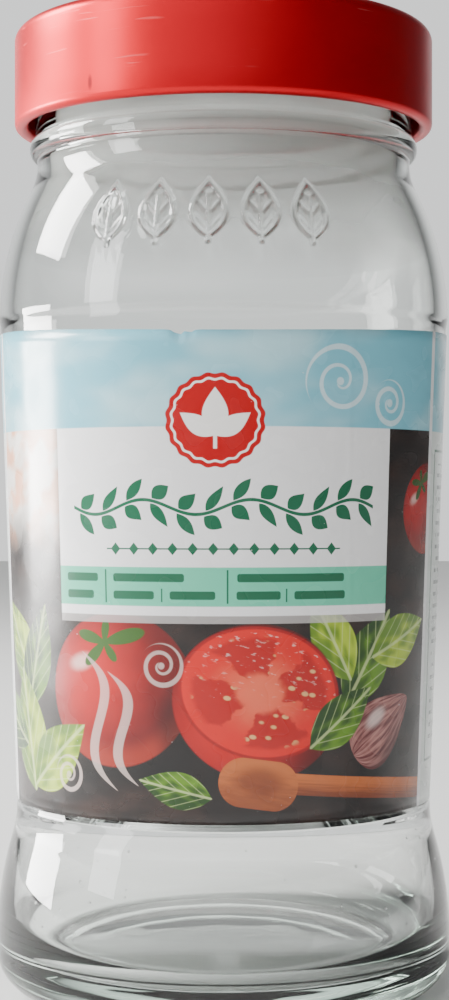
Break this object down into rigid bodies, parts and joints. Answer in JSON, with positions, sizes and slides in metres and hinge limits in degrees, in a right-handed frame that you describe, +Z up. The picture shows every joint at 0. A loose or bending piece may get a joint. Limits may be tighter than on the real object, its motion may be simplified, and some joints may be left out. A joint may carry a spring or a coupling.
{
  "type": "glass sauce jar",
  "caption": "Empty clear glass sauce jar with a waisted body, a printed paper label wrapped round it and a red painted steel twist-off lid",
  "frame": {"origin": "middle of the ring that the jar stands on, at the height of the surface under it", "axes": "+Z up along the jar's axis; the middle of the label faces -Y; +X to the right of someone reading the label"},
  "size_m": [0.0744, 0.0744, 0.1562],
  "materials": {
    "glass": "clear, faintly green flint glass, fire-polished",
    "label_paper": "thin coated paper with a satin varnish, printed in flat colours",
    "lid_paint": "thin tinplate with glossy red lacquer"
  },
  "bodies": {
    "root": {"jar_glass": "glass", "label": "label_paper", "lid": "lid_paint"}
  },
  "joints": []
}
